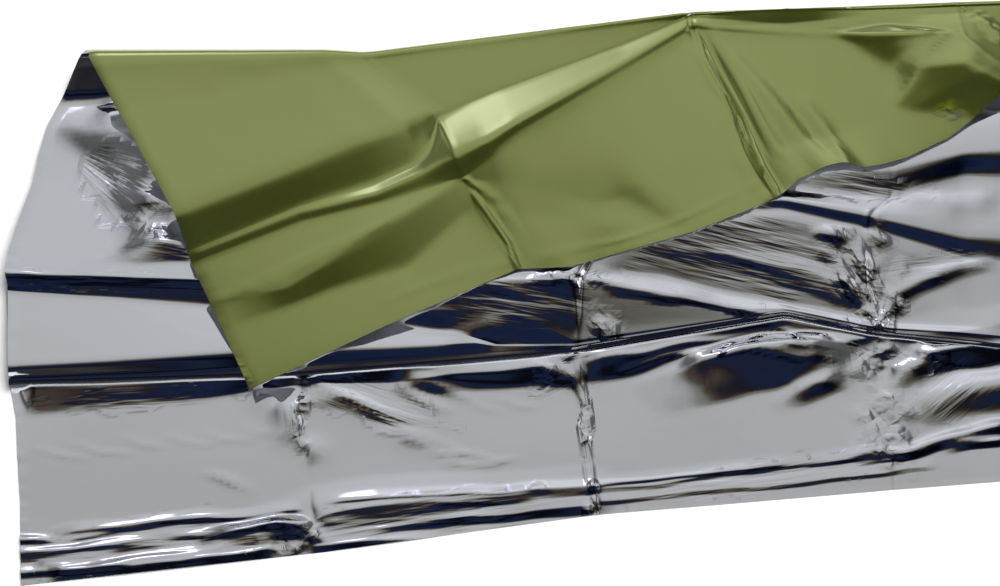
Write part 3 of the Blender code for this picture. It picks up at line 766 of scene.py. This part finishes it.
def lap_roll(panels, lap):
    """The rolled lap edge: half an ellipse that turns the sheet up and back."""
    depth, height = fold_size("roll_depth", panels), fold_size("roll_height", panels)
    angles = [math.pi * i / LAP_ROLL_ROWS for i in range(LAP_ROLL_ROWS + 1)]
    rows = [raised(lap, depth * (1 - math.sin(a)), -height * math.cos(a)) for a in angles]
    return np.stack(rows, axis=1)


def loop_turn(panels, top, foot):
    """The springy loop at the back fold, from the shoulder to the flap."""
    radius, slant = fold_size("loop_radius", panels), fold_size("loop_slant", panels)
    centre_y, centre_z = top[:, 1] - LOOP_MIDDLE * radius, top[:, 2] - LOOP_MIDDLE * radius
    rise_height = np.maximum(centre_z - foot[:, 2] - radius * LOOP_SPRING, 0)
    rise = np.arctan2(rise_height, centre_y - foot[:, 1])
    rows = []
    for i in range(LOOP_TURN_ROWS + 1):
        a = rise + (math.pi - rise) * i / LOOP_TURN_ROWS
        x, y = top[:, 0] - slant * np.cos(a), centre_y + radius * np.sin(a)
        rows.append(np.stack((x, y, centre_z - radius * np.cos(a)), axis=1))
    turn = np.stack(rows, axis=1)
    lead = straight(foot, turn[:, 0], LOOP_RISE_ROWS)[:, :-1]
    return np.concatenate((lead, turn), axis=1)


def lift_layer(layer, rows):
    """Adds a layer's folds to its heights. Returns its crumple and streak fields."""
    x, y = rows[:, :, 0] / MM, rows[:, :, 1] / MM
    rows[:, :, 2] += layer_lift(layer, x, y) * MM
    streak, grain_x, grain_y = streak_fields(layer, x, y)
    crumple = crumple_mask(layer, x, y)
    return {"crumple": crumple, "streak": streak, "grain_x": grain_x * MM, "grain_y": grain_y * MM}


def sheet_grid():
    """Points of the sheet's middle surface by column and row, and its fields.

    along and across are places on the flat sheet. The others say where the film
    is crumpled or streaked, and the place along and across the streaks.
    """
    panels = column_panels()
    lines = sheet_lines(panels)
    front = front_layer(lines)
    roll = lap_roll(panels, lines["lap_edge"])
    back = soften_rows(rows_over(roll[:, -1], lines, BACK_ROWS), BACK_SOFTENING)
    loop = loop_turn(panels, lines["loop"], lines["shoulder"])
    flap = soften_rows(rows_over(loop[:, -1], lines, FLAP_ROWS), BACK_SOFTENING)
    visible = sum(column_length(part) for part in (front, roll, back, loop, flap))
    tuck = tuck_layers(panels, lines["lap_edge"], visible)
    under_lap = front[:, -1].copy()
    layers = {"front": front, "back": back, "flap": flap}
    fields = {name: lift_layer(name, rows) for name, rows in layers.items()}
    front[:, -1] = under_lap
    parts = (("front", front), ("", tuck), ("", roll), ("back", back), ("", loop), ("flap", flap))
    points = np.concatenate([rows for _, rows in parts], axis=1)
    joined = {}
    for field in ("crumple", "streak", "grain_x", "grain_y"):
        values = [fields[n][field] if n else np.zeros(rows.shape[:2]) for n, rows in parts]
        joined[field] = np.concatenate(values, axis=1)
    steps = np.linalg.norm(np.diff(points, axis=1), axis=2)
    from_front = np.pad(np.cumsum(steps, axis=1), ((0, 0), (1, 0)))
    across = SHEET_WIDTH - (from_front[:, -1:] - from_front)
    front_rows = front.shape[1]
    across[:, :front_rows] = from_front[:, :front_rows]
    along = np.repeat((panels * PANEL_LENGTH)[:, None], points.shape[1], axis=1)
    points[:, :, :2] -= TABLE_CENTRE
    return points, {"along": along, "across": across, **joined}


def rest_on_floor(heights):
    """Heights with nothing lower than a film that lies on the floor."""
    return np.maximum(heights, FILM_THICKNESS / 2 + FLOOR_GAP)


def sheet_mesh(points, fields):
    """One face for every four neighbouring points, with the fields as attributes."""
    columns, rows = points.shape[:2]
    index = np.arange(columns * rows).reshape(columns, rows)
    corners = (index[:-1, :-1], index[1:, :-1], index[1:, 1:], index[:-1, 1:])
    faces = np.stack(corners, axis=2).reshape(-1, 4)
    mesh = bpy.data.meshes.new("blanket_film")
    mesh.from_pydata(points.reshape(-1, 3).tolist(), [], faces.tolist())
    for name, values in fields.items():
        attribute = mesh.attributes.new(name, "FLOAT", "POINT")
        attribute.data.foreach_set("value", values.ravel().astype(np.float32))
    flat = np.stack((fields["along"].ravel(), fields["across"].ravel()), axis=1)
    uv_map = mesh.uv_layers.new(name=FLAT_MAP)
    uv_map.data.foreach_set("uv", flat[faces.ravel()].ravel().astype(np.float32))
    mesh.polygons.foreach_set("use_smooth", np.ones(len(faces), dtype=bool))
    return mesh


# ---- node trees ---------------------------------------------------------------------------
def new_group(name, kind, sockets_in, sockets_out):
    """A node tree with its named inputs and outputs, and the nodes that hold them."""
    tree = bpy.data.node_groups.new(name, kind)
    for socket_name, socket_type, value in sockets_in:
        socket = tree.interface.new_socket(socket_name, in_out="INPUT", socket_type=socket_type)
        if value is not None:
            socket.default_value = value
    for socket_name, socket_type in sockets_out:
        tree.interface.new_socket(socket_name, in_out="OUTPUT", socket_type=socket_type)
    return tree, tree.nodes.new("NodeGroupInput"), tree.nodes.new("NodeGroupOutput")


def numbers(settings):
    """Number inputs for a group, with these settings as their defaults."""
    return [(name, "NodeSocketFloat", value) for name, value in settings.items()]


def put(tree, socket, value):
    """Links a socket to another one, or sets its value."""
    if isinstance(value, bpy.types.NodeSocket):
        tree.links.new(value, socket)
    else:
        socket.default_value = value


def calc(tree, operation, *values, kind="ShaderNodeMath", output="Value"):
    """A Math node's result."""
    node = tree.nodes.new(kind)
    node.operation = operation
    for socket, value in zip(node.inputs, values):
        put(tree, socket, value)
    return node.outputs[output]


def vector_calc(tree, operation, *values, output="Vector"):
    """A Vector Math node's result."""
    return calc(tree, operation, *values, kind="ShaderNodeVectorMath", output=output)


def plus(tree, total, *values):
    """Sum of values."""
    for value in values:
        total = calc(tree, "ADD", total, value)
    return total


def times(tree, total, *values):
    """Product of values."""
    for value in values:
        total = calc(tree, "MULTIPLY", total, value)
    return total


def joined_xyz(tree, x, y):
    """A vector from two numbers."""
    node = tree.nodes.new("ShaderNodeCombineXYZ")
    put(tree, node.inputs["X"], x)
    put(tree, node.inputs["Y"], y)
    return node.outputs[0]


def noise_node(tree, place, noise):
    """A noise texture with the scale and the detail that noise gives."""
    node = tree.nodes.new("ShaderNodeTexNoise")
    node.inputs["Scale"].default_value, node.inputs["Detail"].default_value = noise
    put(tree, node.inputs["Vector"], place)
    return node


def centred_noise(tree, place, noise):
    """Noise from about -1 to 1."""
    value = noise_node(tree, place, noise).outputs[0]
    return times(tree, calc(tree, "SUBTRACT", value, 0.5), 2.0)


# ---- packing creases ----------------------------------------------------------------------
def named_field(tree, name):
    """A field of the mesh, in Geometry Nodes."""
    node = tree.nodes.new("GeometryNodeInputNamedAttribute")
    node.data_type = "FLOAT"
    node.inputs["Name"].default_value = name
    return node.outputs["Attribute"]


def crease_profile(tree, place, pitch, width):
    """Height from 0 to 1 of creases at every pitch, turned up and down by turns."""
    number = calc(tree, "ROUND", calc(tree, "DIVIDE", place, pitch))
    away = calc(tree, "ABSOLUTE", calc(tree, "SUBTRACT", place, times(tree, number, pitch)))
    closeness = calc(tree, "SUBTRACT", 1.0, calc(tree, "DIVIDE", away, width))
    closeness = calc(tree, "MAXIMUM", closeness, 0.0)
    odd = calc(tree, "MODULO", calc(tree, "ABSOLUTE", number), 2.0)
    side = calc(tree, "SUBTRACT", 1.0, times(tree, odd, 1.0 + CREASE_DROP))
    return times(tree, calc(tree, "POWER", closeness, CREASE_SHARPNESS), side)


def packing_creases_tree():
    """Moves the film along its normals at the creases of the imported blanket."""
    tree, inputs, outputs = new_group(
        "packing_creases", "GeometryNodeTree",
        [("Geometry", "NodeSocketGeometry", None), *numbers(CREASES),
         ("Material", "NodeSocketMaterial", None)],
        [("Geometry", "NodeSocketGeometry")],
    )
    given = inputs.outputs
    along, across = named_field(tree, "along"), named_field(tree, "across")
    crosswise = crease_profile(tree, along, given["Panel Length"], given["Crease Width"])
    lengthwise = crease_profile(tree, across, given["Panel Width"], given["Crease Width"])
    noise = noise_node(tree, joined_xyz(tree, along, across), CREASE_NOISE)
    noise.noise_dimensions = "4D"
    put(tree, noise.inputs["W"], given["Seed"])
    swing = times(tree, calc(tree, "SUBTRACT", noise.outputs[0], 0.5), CREASE_SWING)
    uneven = plus(tree, 1.0, times(tree, swing, given["Unevenness"]))
    height = plus(tree, times(tree, crosswise, given["Crosswise Height"]),
                  times(tree, lengthwise, given["Lengthwise Height"]))
    normal = tree.nodes.new("GeometryNodeInputNormal")
    offset = vector_calc(tree, "MULTIPLY", normal.outputs[0], times(tree, height, uneven))
    move = tree.nodes.new("GeometryNodeSetPosition")
    put(tree, move.inputs["Geometry"], given["Geometry"])
    put(tree, move.inputs["Offset"], offset)
    realize = tree.nodes.new("GeometryNodeRealizeInstances")
    put(tree, realize.inputs[0], move.outputs[0])
    paint = tree.nodes.new("GeometryNodeSetMaterial")
    put(tree, paint.inputs["Geometry"], realize.outputs[0])
    put(tree, paint.inputs["Material"], given["Material"])
    put(tree, outputs.inputs[0], paint.outputs[0])
    return tree


def keep_modifier(obj, modifier):
    """Keeps what a modifier makes of an object as its mesh."""
    evaluated = obj.evaluated_get(bpy.context.evaluated_depsgraph_get())
    mesh = bpy.data.meshes.new_from_object(evaluated)
    obj.modifiers.remove(modifier)
    obj.data = mesh


def run_tree(obj, tree, settings):
    """Runs a Geometry Nodes tree on an object and keeps the result as its mesh."""
    modifier = obj.modifiers.new(tree.name, "NODES")
    modifier.node_group = tree
    for item in tree.interface.items_tree:
        if item.in_out == "INPUT" and item.name in settings:
            modifier[item.identifier] = settings[item.name]
    keep_modifier(obj, modifier)


# ---- materials --------------------------------------------------------------------------
def shader_field(tree, name):
    """A field of the mesh, in a material."""
    node = tree.nodes.new("ShaderNodeAttribute")
    node.attribute_name = name
    return node.outputs["Fac"]


def flat_place(tree):
    """The place on the flat sheet, in metres."""
    node = tree.nodes.new("ShaderNodeUVMap")
    node.uv_map = FLAT_MAP
    return node.outputs[0]


def film_wrinkles_group():
    """Heights in metres of the wrinkles that are too fine for the mesh."""
    tree, inputs, outputs = new_group(
        "film_wrinkles", "ShaderNodeTree", numbers(SILVER_FILM["wrinkles"]),
        [("Height", "NodeSocketFloat"), ("Crumple", "NodeSocketFloat")],
    )
    given = inputs.outputs
    place = flat_place(tree)
    fine = times(tree, centred_noise(tree, place, FINE_NOISE), given["Fine Height"])
    grains = [times(tree, shader_field(tree, name), scale)
              for name, scale in zip(("grain_x", "grain_y"), STREAK_SCALES)]
    lines = centred_noise(tree, joined_xyz(tree, *grains), STREAK_NOISE)
    lines = times(tree, lines, shader_field(tree, "streak"), given["Streak Height"])
    warp = noise_node(tree, place, WARP_NOISE).outputs["Color"]
    warped = vector_calc(tree, "MULTIPLY_ADD", warp, WARP_REACH, place)
    waves = []
    for direction, share in FACET_DIRECTIONS:
        distance = vector_calc(tree, "DOT_PRODUCT", warped, direction, output="Value")
        half_pitch = times(tree, given["Facet Size"], share, 0.5)
        waves.append(calc(tree, "PINGPONG", distance, half_pitch))
    crumple = shader_field(tree, "crumple")
    facets = times(tree, plus(tree, *waves), given["Crumple Slope"], crumple)
    put(tree, outputs.inputs["Height"], plus(tree, fine, lines, facets))
    put(tree, outputs.inputs["Crumple"], crumple)
    return tree


def film_material(name, wrinkles, look):
    """A metallised face of the film: a mirror that crumpling dulls a little."""
    material = bpy.data.materials.new(name)
    material.use_nodes = True
    tree = material.node_tree
    shader = tree.nodes["Principled BSDF"]
    # The film that shows in a second mirroring is plain and no mirror.
    mirrored = tree.nodes.new("ShaderNodeLightPath").outputs["Glossy Depth"]
    metal = times(tree, calc(tree, "LESS_THAN", mirrored, SECOND_MIRRORING), look["metal"])
    put(tree, shader.inputs["Metallic"], metal)
    group = tree.nodes.new("ShaderNodeGroup")
    group.node_tree = wrinkles
    for socket_name, value in look["wrinkles"].items():
        group.inputs[socket_name].default_value = value
    cloudy = times(tree, centred_noise(tree, flat_place(tree), WEAR_NOISE), CLOUDY_WEAR)
    wear = plus(tree, cloudy, times(tree, group.outputs["Crumple"], CRUMPLE_WEAR))
    wear = calc(tree, "MINIMUM", calc(tree, "MAXIMUM", wear, 0.0), 1.0)
    mix = tree.nodes.new("ShaderNodeMix")
    mix.data_type = "RGBA"
    put(tree, mix.inputs["Factor"], wear)
    colours_in = [socket for socket in mix.inputs if socket.type == "RGBA"]
    for socket, colour in zip(colours_in, (look["colour"], look["worn_colour"])):
        socket.default_value = (*colour, 1.0)
    colour_out = next(socket for socket in mix.outputs if socket.type == "RGBA")
    put(tree, shader.inputs["Base Color"], colour_out)
    more = times(tree, wear, look["worn_roughness"] - look["roughness"])
    put(tree, shader.inputs["Roughness"], plus(tree, look["roughness"], more))
    bump = tree.nodes.new("ShaderNodeBump")
    bump.inputs["Strength"].default_value = 1.0
    bump.inputs["Distance"].default_value = 1.0
    put(tree, bump.inputs["Height"], group.outputs["Height"])
    put(tree, shader.inputs["Normal"], bump.outputs[0])
    for socket_name, value in look["lacquer"].items():
        shader.inputs[socket_name].default_value = value
    return material


# ---- the blanket --------------------------------------------------------------------------
def make_blanket(collection):
    """The sheet of film, with its thickness and its two faces."""
    wrinkles = film_wrinkles_group()
    silver = film_material("silver_film", wrinkles, SILVER_FILM)
    olive = film_material("olive_film", wrinkles, OLIVE_FILM)
    points, fields = sheet_grid()
    points[:, :, 2] = rest_on_floor(points[:, :, 2])
    sheet = bpy.data.objects.new("foil_blanket", sheet_mesh(points, fields))
    collection.objects.link(sheet)
    run_tree(sheet, packing_creases_tree(), {**CREASES, "Material": silver})
    places = np.empty(len(sheet.data.vertices) * 3)
    sheet.data.vertices.foreach_get("co", places)
    places[2::3] = rest_on_floor(places[2::3])
    sheet.data.vertices.foreach_set("co", places)
    sheet.data.materials.append(olive)
    film = sheet.modifiers.new("film_thickness", "SOLIDIFY")
    film.thickness = FILM_THICKNESS
    film.offset = 0.0
    film.material_offset = 1
    film.material_offset_rim = 0
    keep_modifier(sheet, film)
    sheet.data.set_sharp_from_angle(angle=SHARP_CORNER)
    return sheet


# ---- floor, light and camera ---------------------------------------------------------------
def make_floor(collection):
    """A pale floor round the blanket."""
    mesh = bpy.data.meshes.new("floor")
    sides = ((-1, -1), (1, -1), (1, 1), (-1, 1))
    mesh.from_pydata([(x * FLOOR_REACH, y * FLOOR_REACH, 0) for x, y in sides], [], [(0, 1, 2, 3)])
    floor = bpy.data.objects.new("floor", mesh)
    collection.objects.link(floor)
    material = bpy.data.materials.new("pale_floor")
    material.use_nodes = True
    shader = material.node_tree.nodes["Principled BSDF"]
    shader.inputs["Base Color"].default_value = FLOOR_COLOUR
    shader.inputs["Roughness"].default_value = FLOOR_ROUGHNESS
    shader.inputs["Specular IOR Level"].default_value = FLOOR_GLOSS
    mesh.materials.append(material)


def ramp(tree, value, stops, span):
    """Colours by a value, from stops of (value, colour or brightness)."""
    low, high = span
    node = tree.nodes.new("ShaderNodeValToRGB")
    elements = node.color_ramp.elements
    while len(elements) > 1:
        elements.remove(elements[-1])
    for number, (place, colour) in enumerate(stops):
        place = (place - low) / (high - low)
        element = elements.new(place) if number else elements[0]
        element.position = place
        element.color = (*np.broadcast_to(colour, 3).tolist(), 1.0)
    factor = plus(tree, times(tree, value, 1 / (high - low)), -low / (high - low))
    put(tree, node.inputs["Fac"], factor)
    return node.outputs["Color"]


def make_studio():
    """Soft studio surroundings: bright low walls at the back, dark above and in front."""
    world = bpy.data.worlds.new("studio")
    bpy.context.scene.world = world
    world.use_nodes = True
    tree = world.node_tree
    direction = tree.nodes.new("ShaderNodeTexCoord").outputs["Generated"]
    parts = tree.nodes.new("ShaderNodeSeparateXYZ")
    put(tree, parts.inputs[0], direction)
    side = parts.outputs["X"]
    angle = calc(tree, "ARCTAN2", parts.outputs["Z"], parts.outputs["Y"])
    angle = times(tree, angle, 180 / math.pi)
    shift = times(tree, centred_noise(tree, direction, STUDIO_NOISE), STUDIO_UNEVENNESS)
    walls = vector_calc(tree, "MULTIPLY",
                        ramp(tree, plus(tree, angle, shift), STUDIO_BY_HEIGHT, HEIGHT_SPAN),
                        ramp(tree, side, STUDIO_BY_SIDE, SIDE_SPAN))
    window = vector_calc(tree, "MULTIPLY",
                         ramp(tree, angle, WINDOW_BY_HEIGHT, HEIGHT_SPAN),
                         ramp(tree, side, WINDOW_BY_SIDE, SIDE_SPAN))
    light = vector_calc(tree, "MULTIPLY_ADD", window, WINDOW_COLOUR, walls)
    background = tree.nodes["Background"]
    put(tree, background.inputs["Color"], light)
    background.inputs["Strength"].default_value = 1.0


def make_lamp(collection):
    """A soft lamp overhead that faces the frame's origin."""
    data = bpy.data.lights.new("overhead_softbox", "AREA")
    data.shape = "DISK"
    data.size = LAMP_SIZE
    data.energy = LAMP_POWER
    lamp = bpy.data.objects.new("overhead_softbox", data)
    x, y, z = LAMP_PLACE
    lamp.location = LAMP_PLACE
    lamp.rotation_euler = (math.atan2(math.hypot(x, y), z), 0, math.atan2(-y, -x) - math.pi / 2)
    lamp.visible_glossy = False
    collection.objects.link(lamp)


def make_camera(collection):
    """The camera in front of the blanket, looking down at it."""
    data = bpy.data.cameras.new("camera")
    data.lens = CAMERA_LENS
    data.sensor_width = CAMERA_SENSOR
    camera = bpy.data.objects.new("camera", data)
    angle = math.radians(CAMERA_HEIGHT_ANGLE)
    centre_x, centre_y = TABLE_CENTRE
    camera.location = (-centre_x, -centre_y - CAMERA_DISTANCE * math.cos(angle),
                       CAMERA_DISTANCE * math.sin(angle))
    camera.rotation_euler = (math.pi / 2 - angle, 0, 0)
    collection.objects.link(camera)
    bpy.context.scene.camera = camera


def main():
    """Builds everything, puts the sheet under the root body and hides the imported sheet."""
    scene = bpy.context.scene
    scene.view_settings.view_transform = "Standard"
    collection = bpy.data.collections.new("emergency_blanket_set")
    scene.collection.children.link(collection)
    sheet = make_blanket(collection)
    make_floor(collection)
    make_studio()
    make_lamp(collection)
    make_camera(collection)
    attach(sheet, "root")
    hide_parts("blanket_sheet")


main()
